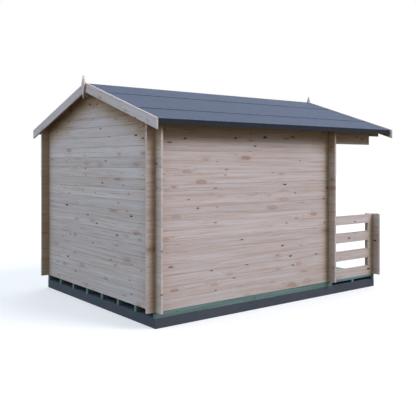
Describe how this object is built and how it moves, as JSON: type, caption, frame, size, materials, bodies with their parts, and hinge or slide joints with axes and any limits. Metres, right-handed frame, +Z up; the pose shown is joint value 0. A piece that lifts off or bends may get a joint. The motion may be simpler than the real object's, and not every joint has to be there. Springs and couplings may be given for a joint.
{
  "type": "log cabin",
  "caption": "Small log cabin with crossed corners, a felted gable roof that runs out over a veranda with log rails, half glazed double doors and a flat plinth.",
  "frame": {"origin": "centre of the underside of the plinth", "axes": "+Z up, the ridge along Y, the veranda and the doors towards -Y"},
  "size_m": [3.28, 4.106, 2.8891],
  "materials": {
    "log_timber": "planed pine, untreated, with brown knots",
    "trim_timber": "planed pine boards",
    "beam_timber": "planed pine beams",
    "board_timber": "planed tongued boards",
    "door_timber": "planed pine joinery",
    "treated_timber": "green pressure treated timber",
    "deck_timber": "blue-green treated deck boards",
    "roof_felt": "mineral roofing felt, blue-grey",
    "concrete": "smooth dark grey slab",
    "door_glass": "clear glass",
    "door_metal": "satin steel"
  },
  "bodies": {
    "root": {"plinth_slab": "concrete", "floor_joists": "treated_timber", "veranda_joists": "treated_timber", "floor_boards": "board_timber", "veranda_deck": "deck_timber", "left_wall": "log_timber", "left_long_logs": "log_timber", "left_lower_eaves_log": "log_timber", "left_upper_eaves_log": "log_timber", "left_post_logs": "log_timber", "left_post_blocks": "log_timber", "right_wall": "log_timber", "right_long_logs": "log_timber", "right_lower_eaves_log": "log_timber", "right_upper_eaves_log": "log_timber", "right_post_logs": "log_timber", "right_post_blocks": "log_timber", "rear_wall": "log_timber", "front_sill_log": "log_timber", "front_wall_left": "log_timber", "front_wall_right": "log_timber", "front_gable": "log_timber", "ridge_purlin": "beam_timber", "left_purlin": "beam_timber", "right_purlin": "beam_timber", "left_roof_boards": "board_timber", "right_roof_boards": "board_timber", "eaves_boards": "board_timber", "left_lower_felt": "roof_felt", "right_lower_felt": "roof_felt", "left_middle_felt": "roof_felt", "right_middle_felt": "roof_felt", "ridge_felt": "roof_felt", "rear_left_bargeboard": "trim_timber", "rear_right_bargeboard": "trim_timber", "front_left_bargeboard": "trim_timber", "front_right_bargeboard": "trim_timber", "rear_finial": "trim_timber", "front_finial": "trim_timber", "door_frame": "door_timber", "left_door": "door_timber", "right_door": "door_timber", "door_glass": "door_glass", "door_hinges": "door_metal", "door_handle": "door_metal"}
  },
  "joints": []
}
